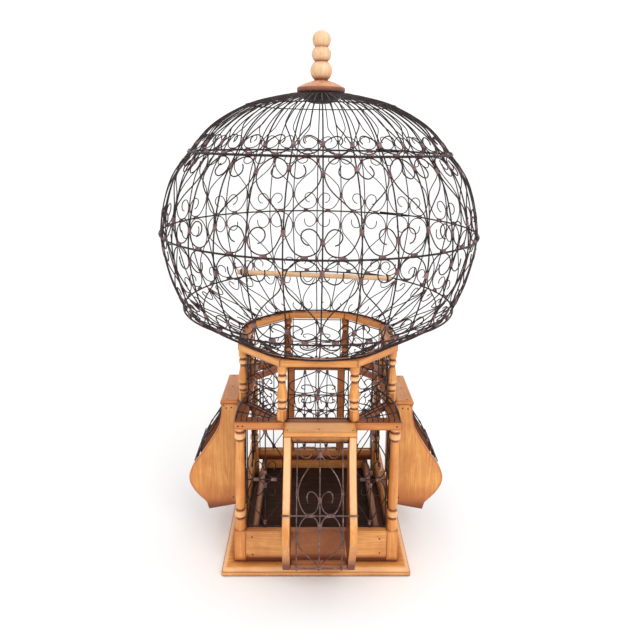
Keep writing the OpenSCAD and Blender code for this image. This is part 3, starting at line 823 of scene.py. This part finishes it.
def middle_frame():
    def rail_tone(p, edge):
        if p[2] > MID_TOP - 0.3:
            return 0.98
        return max(0.9 * edge, 0.66)
    for side, grain in (("front", 0), ("back", 0), ("left", 1), ("right", 1)):
        mesh = Mesh()
        low, high = box_mm(side + "_rail")
        board(mesh, low, high, grain, 1.4, tone_at=rail_tone)
        mesh.honey(side + "_rail_board", [side + "_rail"])
    mesh = Mesh()
    inner = FRAME_H - 20
    for a in range(0, 360, 90):
        first = len(mesh.verts)
        outline = [(DRUM_H - 6, -inner + 0.1), (DRUM_H + 10, -inner + 0.1), (inner - 0.1, -DRUM_H - 10),
                   (inner - 0.1, -DRUM_H + 6)]
        prism(mesh, outline, lambda x, y, d: (x, y, MID_TOP - 10 + d), 9, 0, 1.0, math.radians(-45))
        turn_mesh(mesh, a, first)
    mesh.piece("corner_brace_boards", RED_HONEY, "cage", "honey_wood", ["corner_braces"])


DRUM_BLOCK = 18.5
DRUM_TURNING = [(7.4, 17.5), (7.4, 19), (5.8, 20.6), (5.7, 22.4), (7.0, 23.4), (7.4, 25.6), (7.4, 28.2),
                (7.0, 30.4), (5.7, 31.4), (5.8, 32.4), (7.9, 35.6), (8.3, 39.5), (7.9, 46), (6.5, 54),
                (5.3, 62), (5.1, 64.6), (5.3, 66.2), (7.0, 67.2), (7.4, 69.4), (7.4, 71.6), (6.9, 73.4),
                (5.5, 74.4), (5.6, 75.6), (7.2, 79), (7.5, 82)]
DRUM_C, DRUM_D = DRUM_A - 8.5, DRUM_H - 4
DRUM_CORNERS = [(-DRUM_D, -DRUM_C), (DRUM_D, -DRUM_C), (DRUM_C, -DRUM_D), (DRUM_C, DRUM_D),
                (DRUM_D, DRUM_C), (-DRUM_D, DRUM_C), (-DRUM_C, DRUM_D), (-DRUM_C, -DRUM_D)]


def drum():
    for i, (x, y) in enumerate(DRUM_CORNERS):
        mesh = Mesh()
        turn = math.degrees(math.atan2(y, x))
        board(mesh, (-6.5, -6.5, MID_TOP), (6.5, 6.5, MID_TOP + DRUM_BLOCK), 2, 1.2,
              tone_at=lambda p, edge: 0.8 * edge)
        turn_mesh(mesh, turn)
        mesh.verts[0] = mesh.verts[0] + np.array([x, y, 0])
        profile = resample(smooth(DRUM_TURNING + [(7.6, DRUM_Z - MID_TOP)], 4), 0.8) + np.array([0, MID_TOP])
        lathe(mesh, profile, (x, y), 32, tone=relief(profile))
        # Painted shade: the posts' sides towards the cage's middle are darkened.
        mesh.shade_inner_side(x, y, 1.05)
        mesh.honey(f"turned_drum_post_{i + 1}", [f"drum_post_{i + 1}"], 50)
    mesh = Mesh()
    out = np.array([(-DRUM_H, -DRUM_A), (DRUM_H, -DRUM_A), (DRUM_A, -DRUM_H), (DRUM_A, DRUM_H),
                    (DRUM_H, DRUM_A), (-DRUM_H, DRUM_A), (-DRUM_A, DRUM_H), (-DRUM_A, -DRUM_H)])
    k = (DRUM_A - 15) / DRUM_A
    for i in range(8):
        a, b = out[i], out[(i + 1) % 8]
        g = 0.15 * (b - a) / np.linalg.norm(b - a)
        outline = [tuple(a + g), tuple(b - g), tuple(k * b - g), tuple(k * a + g)]
        heading = math.atan2(*(b - a)[::-1])
        prism(mesh, outline, lambda x, y, d: (x, y, DRUM_Z + d), DRUM_TOP - DRUM_Z, 0, 1.2, heading,
              tone_at=lambda p, edge: 0.85 if p[2] > DRUM_TOP - 0.3 else 0.75 * edge)
    mesh.honey("eight_sided_top_boards", ["drum_top_frame"])


# ---------- hatches ----------

# Each hatch's turn about Z in degrees, its shift along the side, how far out its neck and its belly
# are, and the height of its tip.
Hatch = namedtuple("Hatch", "turn shift neck belly tip")
HATCHES = {"front": Hatch(0, FRONT_SHIFT, 166, 217, 38),
           "left": Hatch(-90, 0.0, 161, 217, 53),
           "right": Hatch(90, 0.0, 161, 217, 53)}
HATCH_TOP_Z = MID_TOP - 5
BELLY_Z = 108.0
HEADER_Z, HEADER_T = 235.5, 8.0
PIVOT_Z = 237.0
PIVOT_R = 1.2
ROD_Z = 143.0
BAR_X = 34.0
DOOR_R = 0.95


def cheek_outline(h):
    curve = smooth([(h.neck, HATCH_TOP_Z), (h.neck + 1, 222), (h.neck + 9, 195), (193, 158),
                    (h.belly - 6, 132), (h.belly, BELLY_Z), (h.belly - 10, 86), (188, h.tip + 13)], 7).tolist()
    return [(FRAME_H + 0.1, HATCH_TOP_Z)] + curve + [(184, h.tip), (FRAME_H + 0.1, h.tip + 10)]


def door_curve(h):
    return smooth([(h.neck + 2, PIVOT_Z - 3.4), (h.neck + 5, 216), (h.neck + 15, 195), (193, 168), (204, 145),
                   (h.belly - 6, 120), (h.belly - 6, 104), (h.belly - 12, 84), (190, h.tip + 16),
                   (187, h.tip + 2)], 6)


def hatch(side):
    h = HATCHES[side]
    mesh = Mesh()
    foot_stain = 1.3 if side == "front" else 1.15
    for x in (-HATCH_HALF, HATCH_HALF - CHEEK_T):
        middle = x + CHEEK_T / 2

        def cheek_tone(p, edge):
            heights = (h.tip + 4, h.tip + 16, h.tip + 46, h.tip + 80)
            foot = fade(p[2], heights, (1, 0.75, 0.3, 0)) * foot_stain
            # The cheeks' curved edge faces: on the front hatch they are painted pale from the belly up as
            # highlight; on the side hatches they are painted darker as shade.
            if abs(p[0] - middle) < CHEEK_T / 2 - 1 and -p[1] > FRAME_H + 4 and p[2] < HATCH_TOP_Z - 2:
                if side != "front":
                    return 0.7
                return max(foot, 0.15) if p[2] < 110 else fade(p[2], (110, 150), (0.1, -0.5))
            # The cheeks' inner faces, which look into the hatch, are painted darker as shade.
            if abs(p[0]) < HATCH_HALF - CHEEK_T + 0.2:
                return 1.0 if p[2] > 120 else 1.12
            return max(0.8 * edge, foot)
        cuts = [(2, h.tip + k) for k in (6, 16, 30, 46, 64, 80)] + [(2, 150), (2, 190)]
        prism(mesh, cheek_outline(h), lambda u, z, d: (x + d, -u, z), CHEEK_T, 2, 1.5, cuts=cuts,
              tone_at=cheek_tone)
    turn_mesh(mesh, h.turn, shift=h.shift)
    mesh.honey(side + "_cheek_boards", [side + "_hatch_cheeks"])
    mesh = Mesh()
    z0 = HATCH_TOP_Z + 0.1
    nose = [(h.neck + 1, z0), (h.neck + 1.8, z0 + 1.5), (h.neck + 1.8, z0 + 3), (h.neck + 0.8, MID_TOP),
            (h.neck - 1, MID_TOP + 1)]
    outline = [(FRAME_H + 0.1, z0)] + nose + [(FRAME_H + 0.1, MID_TOP + 1)]
    # The front hatch's top board is painted pale as a highlight and the side hatches' top boards painted
    # darker as shade.
    top_painted_light = -0.3 if side == "front" else 0.62
    prism(mesh, outline, lambda u, z, d: (-HATCH_HALF + d, -u, z), 2 * HATCH_HALF, 0, 1.0,
          tone_at=lambda p, edge: max(0.8 * edge, top_painted_light) if edge > 0.5 or p[2] < MID_TOP else top_painted_light)
    half = HATCH_HALF - CHEEK_T - 0.1
    # The header under the top board is painted darker as shade.
    board(mesh, (-half, 2 - h.neck, HEADER_Z), (half, 2 + HEADER_T - h.neck, HATCH_TOP_Z), 0, 0.8,
          tone_at=lambda p, edge: 0.6 + 0.3 * edge)
    turn_mesh(mesh, h.turn, shift=h.shift)
    mesh.honey(side + "_top_board", [side + "_hatch_top"])
    mesh = Mesh()
    board(mesh, (-half, -184, h.tip), (half, -172, h.tip + 9), 0, 1.2,
          tone_at=lambda p, edge: 0.82 + 0.2 * edge)
    turn_mesh(mesh, h.turn, shift=h.shift)
    mesh.honey(side + "_sill_board", [side + "_hatch_sill"])


# Half the door's heart, as (x over the bar's place, height above the cross bar in mm).
DOOR_HEART = [(0.52, 17), (0.57, 24), (0.5, 30.5), (0.32, 32), (0.14, 28.5), (0.03, 23.5), (0, 19),
              (0.04, 11), (0.17, 4.5), (0.36, 1.4), (0.5, 1.2), (0.67, 3), (0.85, 10.5), (0.97, 21),
              (1, 30), (0.97, 38), (0.82, 50), (0.55, 62.5), (0.28, 72.5), (0.08, 79), (0, 83), (0.1, 90),
              (0.3, 97), (0.58, 101), (0.82, 99), (0.93, 92), (0.9, 84), (0.74, 79), (0.5, 79),
              (0.36, 84), (0.44, 90)]
DOOR_FOOT = [(0.05, -20), (0.02, -14), (0.06, -8.5), (0.18, -3.6), (0.36, -1.3), (0.54, -1.5),
             (0.72, -4.5), (0.88, -12), (0.97, -22), (1, -34), (0.96, -44), (0.8, -56), (0.5, -72),
             (0.2, -88), (0.03, -97)]

# Heights above the cross bar where the scrolls are clipped to the door's middle bar.
MIDDLE_BAR_CLIPS = (20, 83, -15)


def door(side):
    h = HATCHES[side]
    curve = resample(door_curve(h), 2.5)
    lengths = np.concatenate([[0], np.cumsum(np.linalg.norm(np.diff(curve, axis=0), axis=1))])
    rod = fade(-ROD_Z, -curve[:, 1], lengths)

    def on_curve(s):
        return np.array([np.interp(s, lengths, curve[:, i]) for i in (0, 1)])

    def on_door(x, rise, out=0.0):
        s = min(max(rod - rise, 0), lengths[-1])
        u, z = on_curve(s)
        t = on_curve(min(s + 2, lengths[-1])) - on_curve(max(s - 2, 0))
        t /= np.linalg.norm(t)
        return np.array([x, -(u - t[1] * out), z + t[0] * out])

    mesh = Mesh()
    top = rod
    foot = rod - lengths[-1]
    for x in (-BAR_X, 0, BAR_X):
        tube(mesh, [on_door(x, r) for r in np.linspace(top, foot, 70)], DOOR_R, 8)
        eye_r = PIVOT_R + DOOR_R + 0.1
        eye = [(x, -(h.neck + 2.0) - eye_r * math.sin(a), PIVOT_Z - eye_r * math.cos(a))
               for a in np.linspace(0, 2 * math.pi - 0.5, 24)]
        tube(mesh, eye, DOOR_R, 8)
    for rise, half in ((0, HATCH_HALF + 1), (0.94 * foot, BAR_X + 6)):
        tube(mesh, [on_door(x, rise, 2 * DOOR_R) for x in np.linspace(-half, half, 12)], DOOR_R * 1.1, 8)
    reach = BAR_X - 2 * DOOR_R
    for mirror in (-1, 1):
        for knots in (DOOR_HEART, DOOR_FOOT):
            points = [on_door(mirror * (2 * DOOR_R + k[0] * (reach - 2 * DOOR_R)), min(k[1], top - 4), 0.0)
                      for k in smooth(knots, 5)]
            tube(mesh, resample(points, 2.0), 0.9, 7)
    turn_mesh(mesh, h.turn, shift=h.shift)
    # The front door's wires take the paler copy as painted highlight.
    wire_with_painted_light = LIT_DOOR_IRON if side == "front" else IRON
    mesh.piece(side + "_door_wires", wire_with_painted_light, side + "_door", "dark_wire", [side + "_door"])
    mesh = Mesh()
    front_way = [0, -1, 0]
    for rise in MIDDLE_BAR_CLIPS:
        ferrule(mesh, on_door(0, rise), on_door(0, rise + 2) - on_door(0, rise - 2), front_way, 8.5, 5.6, 3.4)
    for x in (-0.46 * BAR_X, 0.46 * BAR_X):
        ferrule(mesh, on_door(x, 0, 0.9), [1, 0, 0], front_way, 11.5, 5.4, 4.4)
    for x in (-BAR_X, BAR_X):
        ferrule(mesh, on_door(x * 0.985, 30), on_door(x, 32) - on_door(x, 28), front_way, 6, 4.6, 3.2)
    turn_mesh(mesh, h.turn, shift=h.shift)
    mesh.piece(side + "_door_sleeves", LIT_CLIP, side + "_door", "clip_metal")


def pivots():
    mesh = Mesh()
    for h in HATCHES.values():
        first = len(mesh.verts)
        half = HATCH_HALF - CHEEK_T - PIVOT_R - 0.2
        u = h.neck + 2.0
        path = [(-half, -(u - 4), PIVOT_Z), (-half, -(u - 1.6), PIVOT_Z), (-half + 1.2, -u, PIVOT_Z)]
        path += [(x, -u, PIVOT_Z) for x in np.linspace(-half + 4, half - 4, 12)]
        path += [(-x, y, z) for x, y, z in path[2::-1]]
        tube(mesh, smooth(path, 3), PIVOT_R, 8)
        turn_mesh(mesh, h.turn, first, h.shift)
    mesh.wires("door_pivot_wires", ["door_pivots"])


def nails():
    """Small dark nail heads where the boards are fixed together."""
    mesh = Mesh()
    sides = 10
    wall_face = wall_high[0] + 18.1
    places = []
    for h in HATCHES.values():
        in_cheek = ((FRAME_H + 12, HATCH_TOP_Z - 7), (h.neck - 8, HATCH_TOP_Z - 8),
                    (FRAME_H + 10, h.tip + 22))
        for x in (-1, 1):
            for nu, nz in in_cheek:
                places.append((h.turn, (x * HATCH_HALF + h.shift, -nu, nz), (x, 0, 0)))
            over_cheek = x * (HATCH_HALF - CHEEK_T / 2) + h.shift
            places.append((h.turn, (over_cheek, -(h.neck - 9), MID_TOP + 1), (0, 0, 1)))
        places.append((h.turn, (h.shift - 2, -(h.neck - 12), MID_TOP + 1), (0, 0, 1)))
    for turn in (0, 90, 180, 270):
        for x, z in ((-POST_C + 20, 24), (-POST_C + 19, 55), (POST_C - 20, 27), (POST_C - 21, 52)):
            if turn != 180 or z > tray_high[2] + 5:
                places.append((turn, (x, -wall_face, z), (0, -1, 0)))
        for x in (-FRAME_H + 8, -FRAME_H + 15, FRAME_H - 9):
            places.append((turn, (x, -FRAME_H, MID_Z + 6), (0, -1, 0)))
    for turn, centre, normal in places:
        first = len(mesh.verts)
        centre, normal = np.array(centre, float), np.array(normal, float)
        side_way = np.array([0, 0, 1.0]) if abs(normal[2]) < 0.5 else np.array([1.0, 0, 0])
        other = np.cross(normal, side_way)
        verts = [centre - 0.4 * normal]
        for lift, r in ((-0.4, 1.35), (0.1, 1.35), (0.28, 0.9)):
            verts += [centre + lift * normal + r * (math.cos(a) * side_way + math.sin(a) * other)
                      for a in np.arange(sides) * math.pi / 5]
        top = tuple(range(1 + 2 * sides, 1 + 3 * sides))
        under = [(0, 1 + (k + 1) % sides, 1 + k) for k in range(sides)]
        mesh.add(verts, band_faces(3, sides, 1) + [top] + under)
        turn_mesh(mesh, turn, first)
    mesh.piece("nail_heads", HUB, "cage", "dark_wire")


# ---------- flat grilles ----------

# Half a grille heart, as (x over half the cell, height over the reach), from its curl to its point.
HEART = [(0.44, 0.17), (0.56, 0.22), (0.52, 0.32), (0.32, 0.35), (0.12, 0.28), (0.02, 0.2), (0, 0.14),
         (0.06, 0.08), (0.22, 0.03), (0.47, 0.01), (0.75, 0.05), (0.94, 0.18), (1, 0.33), (0.9, 0.47),
         (0.62, 0.62), (0.3, 0.77), (0.06, 0.9), (0, 0.98)]

GRILLE_WIRE_R, GRILLE_CURL_R = 0.95, 0.85


def grille(mesh, clips, width, z0, z1, cells, cross, placed):
    """A flat grille in its own plane. placed maps (x, z, out) to x, y, z."""
    cell = width / cells
    half = cell / 2
    sideways = placed(1, 0, 0) - placed(0, 0, 0)
    outward = placed(0, 0, 1) - placed(0, 0, 0)
    for i in range(2 * cells + 1):
        x = min(max(-width / 2 + i * half, -width / 2 + 1), width / 2 - 1)
        wave = noise.normal(0, 0.25)
        points = [placed(x + wave * math.sin(t * 6), z0 + 0.4 + t * (z1 - z0 - 0.8), 0)
                  for t in np.linspace(0, 1, 14)]
        tube(mesh, points, GRILLE_WIRE_R, 7)
    for z in (z0 + 3, cross, z1 - 4):
        points = [placed(x, z, 2.0) for x in np.linspace(-width / 2, width / 2, 10)]
        tube(mesh, points, GRILLE_WIRE_R, 7)
    for i in range(cells):
        cx = -width / 2 + (i + 0.5) * cell
        for mirror in (-1, 1):
            for reach in (z1 - cross - 8, -(cross - z0 - 7)):
                start = cross + math.copysign(1.6, reach)
                points = [placed(cx + mirror * (1.9 + k[0] * (half - 3.8)), start + k[1] * reach, 0.3)
                          for k in smooth(HEART, 4)]
                tube(mesh, resample(points, 2.4), GRILLE_CURL_R, 6)
            ferrule(clips, placed(cx + mirror * 0.47 * half, cross, 1.0), sideways, outward, 9, 6, 4.2)
        for z in (cross + 0.14 * (z1 - cross - 8), cross - 0.14 * (cross - z0 - 7), z1 - 9, z0 + 9):
            ferrule(clips, placed(cx, z, 0.4), [0, 0, 1], outward, 7.5, 5.6, 3.2)


def facing(angle, middle, depth):
    """A plane whose outward side looks at the angle, 0 being the front."""
    a = math.radians(angle)

    def placed(x, z, out):
        x, y = middle + x, -(depth + out)
        return np.array([math.cos(a) * x - math.sin(a) * y, math.sin(a) * x + math.cos(a) * y, z])
    return placed


def flat_grilles():
    mesh, clips = Mesh(), Mesh()
    straight = 2 * DRUM_D - 17
    slant = math.hypot(DRUM_C - DRUM_D, DRUM_C - DRUM_D) - 17
    slant_depth = (DRUM_C + DRUM_D) / math.sqrt(2) - 2
    for a in range(0, 360, 90):
        grille(mesh, clips, straight, MID_TOP, DRUM_Z, 1, MID_TOP + 42, facing(a, 0, DRUM_C - 2))
        grille(mesh, clips, slant, MID_TOP, DRUM_Z, 1, MID_TOP + 42, facing(a + 45, 0, slant_depth))
    mesh.wires("drum_grille_wires", ["drum_grilles"])
    mesh = Mesh()
    end = POST_C - 10
    cross = WALL_TOP + 84
    for a in (-90, 0, 90):
        for side in (-1, 1):
            start = HATCH_HALF + 1 + side * (FRONT_SHIFT if a == 0 else 0)
            plane = facing(a, side * (start + end) / 2, POST_C - 2)
            grille(mesh, clips, end - start, WALL_TOP, MID_Z, 1, cross, plane)
    mesh.wires("narrow_grille_wires", ["narrow_grilles"])
    mesh = Mesh()
    inner, outer = HATCH_HALF - CHEEK_T, HATCH_HALF
    grille(mesh, clips, 2 * inner + 1, WALL_TOP, MID_Z, 2, cross, facing(180, 0, POST_C - 2))
    for side in (-1, 1):
        plane = facing(180, side * (outer + end) / 2, POST_C - 2)
        grille(mesh, clips, end - outer, WALL_TOP, MID_Z, 1, cross, plane)
    mesh.wires("back_grille_wires", ["back_grille"])
    mesh = Mesh()
    for x in (-outer, inner):
        # All but the uprights' outer faces are painted darker as shade.
        board(mesh, (x, POST_C - 5, WALL_TOP + 0.2), (x + CHEEK_T, POST_C + 5, MID_Z - 0.2), 2, 1.0,
              tone_at=lambda p, edge: 0.6 * edge if p[1] > POST_C else 0.84)
    mesh.honey("back_upright_boards")
    clips.piece("grille_sleeves", LIT_CLIP, "cage", "clip_metal")


def corner_grilles():
    mesh = Mesh()
    wall = (DRUM_C + DRUM_D) / math.sqrt(2) + 4
    corner = (FRAME_H - 4) * math.sqrt(2)
    rise = 38.0
    wire_r = 0.9

    def at(lat, t, lift=0.0):
        reach = corner - abs(lat) - wall
        up = rise * reach / (corner - wall)
        return wall + reach * math.cos(t), lat, MID_TOP + 0.8 + up * math.sin(t) + lift

    for a in (45, 135, 225, 315):
        first = len(mesh.verts)
        for lat in range(-36, 37, 6):
            tube(mesh, [at(lat, t) for t in np.linspace(0, math.pi / 2, 16)], wire_r, 7)
        for t in np.radians((20, 42, 64, 84)):
            span = 40 - 6 * math.sin(t)
            tube(mesh, [at(lat, t, 1.6) for lat in np.linspace(-span, span, 15)], wire_r, 7)
        turn_mesh(mesh, a, first)
    mesh.wires("corner_grille_wires", ["corner_grilles"])


# ---------- perch ----------

def perch():
    low, high = box_mm("perch")
    length = (high - low)[0]
    tilt = math.radians(2)
    centre = (low + high) / 2
    mesh = Mesh()
    r = 4.9
    profile = [(0.5, 0), (r - 0.8, 0), (r, 0.8)] + [(r, s) for s in np.linspace(10, length - 10, 12)] + \
              [(r, length - 1), (r - 0.8, length - 0.2), (0.5, length - 0.2)]
    lathe(mesh, profile, segments=28, axis=0)
    p = mesh.verts[0]
    p[:, 0] -= length / 2
    c, s = math.cos(tilt), math.sin(tilt)
    mesh.verts[0] = np.column_stack([c * p[:, 0] + s * p[:, 2], p[:, 1], -s * p[:, 0] + c * p[:, 2]]) + centre
    mesh.piece("perch_dowel", PALE, "cage", "pale_wood", ["perch"])
    mesh = Mesh()
    for side in (-1, 1):
        x = side * (length / 2 - 8)
        hub = centre + np.array([c * x, 0, -s * x])
        loop = [hub + np.array([1.2 * k, 5.9 * math.cos(a), 5.9 * math.sin(a)])
                for k, a in zip(np.linspace(-1, 1, 44), np.linspace(-0.5, 4 * math.pi - 0.6, 44))]
        az = math.degrees(math.atan2(hub[0], -hub[1]))
        hook = smooth([loop[-1], hub + np.array([0, 7, 9]), on_dome(az, 428, -3), on_dome(az, 434, 1.2),
                       on_dome(az, 437, -1.5)], 8)
        tube(mesh, np.vstack([resample(loop, 1.5), resample(hook, 2)[1:]]), 0.9, 7)
    mesh.wires("perch_wire_loops", ["perch_hooks"])


# ---------- camera, light and floor ----------

def area_light(name, place, power):
    """A soft square light that looks at the cage's lower storey."""
    data = bpy.data.lights.new(name, "AREA")
    data.shape = "SQUARE"
    data.size = 1.2
    data.energy = power
    light = new_object(name, data)
    light.location = place
    light.rotation_euler = (Vector((0, 0, 0.25)) - Vector(place)).to_track_quat("-Z", "Y").to_euler()


def front_camera():
    data = bpy.data.cameras.new("camera")
    data.sensor_width = 36.0
    data.lens = 33.41
    data.shift_y = -0.1426
    data.clip_end = 100.0
    camera = new_object("camera", data)
    camera.location = (-0.01767, -0.997, 0.68568)
    yaw, pitch, roll = math.radians(1.10), math.radians(8.62), math.radians(0.78)
    forward = Vector((math.sin(yaw) * math.cos(pitch), math.cos(yaw) * math.cos(pitch), -math.sin(pitch)))
    right = Vector((math.cos(yaw), -math.sin(yaw), 0))
    up = right.cross(forward)
    r = right * math.cos(roll) + up * math.sin(roll)
    u = up * math.cos(roll) - right * math.sin(roll)
    camera.rotation_euler = Matrix((r, u, -forward)).transposed().to_euler()
    bpy.context.scene.camera = camera


def studio():
    floor_data = bpy.data.meshes.new("floor")
    s = 60.0
    floor_data.from_pydata([(-s, -s, 0), (s, -s, 0), (s, s, 0), (-s, s, 0)], [], [(0, 1, 2, 3)])
    floor = new_object("floor", floor_data)
    m = Nodes("pale_floor")
    m.set(Base_Color=(0.92, 0.92, 0.92, 1), Roughness=0.9, Specular_IOR_Level=0.1)
    floor_data.materials.append(m.material)

    world = bpy.data.worlds.new("studio")
    world.use_nodes = True
    background = world.node_tree.nodes["Background"]
    background.inputs["Color"].default_value = (1, 1, 1, 1)
    background.inputs["Strength"].default_value = 1.1
    bpy.context.scene.world = world
    bpy.context.scene.view_settings.view_transform = "Standard"
    area_light("key", (0.9, -1.6, 1.5), 15)
    area_light("fill", (-1.3, -1.3, 0.9), 3)


front_camera()
studio()
dome_ribs()
dome_rings()
dome_scrolls()
dome_ferrules()
crown()
base()
corner_posts()
middle_frame()
drum()
for hatch_side in HATCHES:
    hatch(hatch_side)
    door(hatch_side)
pivots()
nails()
flat_grilles()
corner_grilles()
perch()
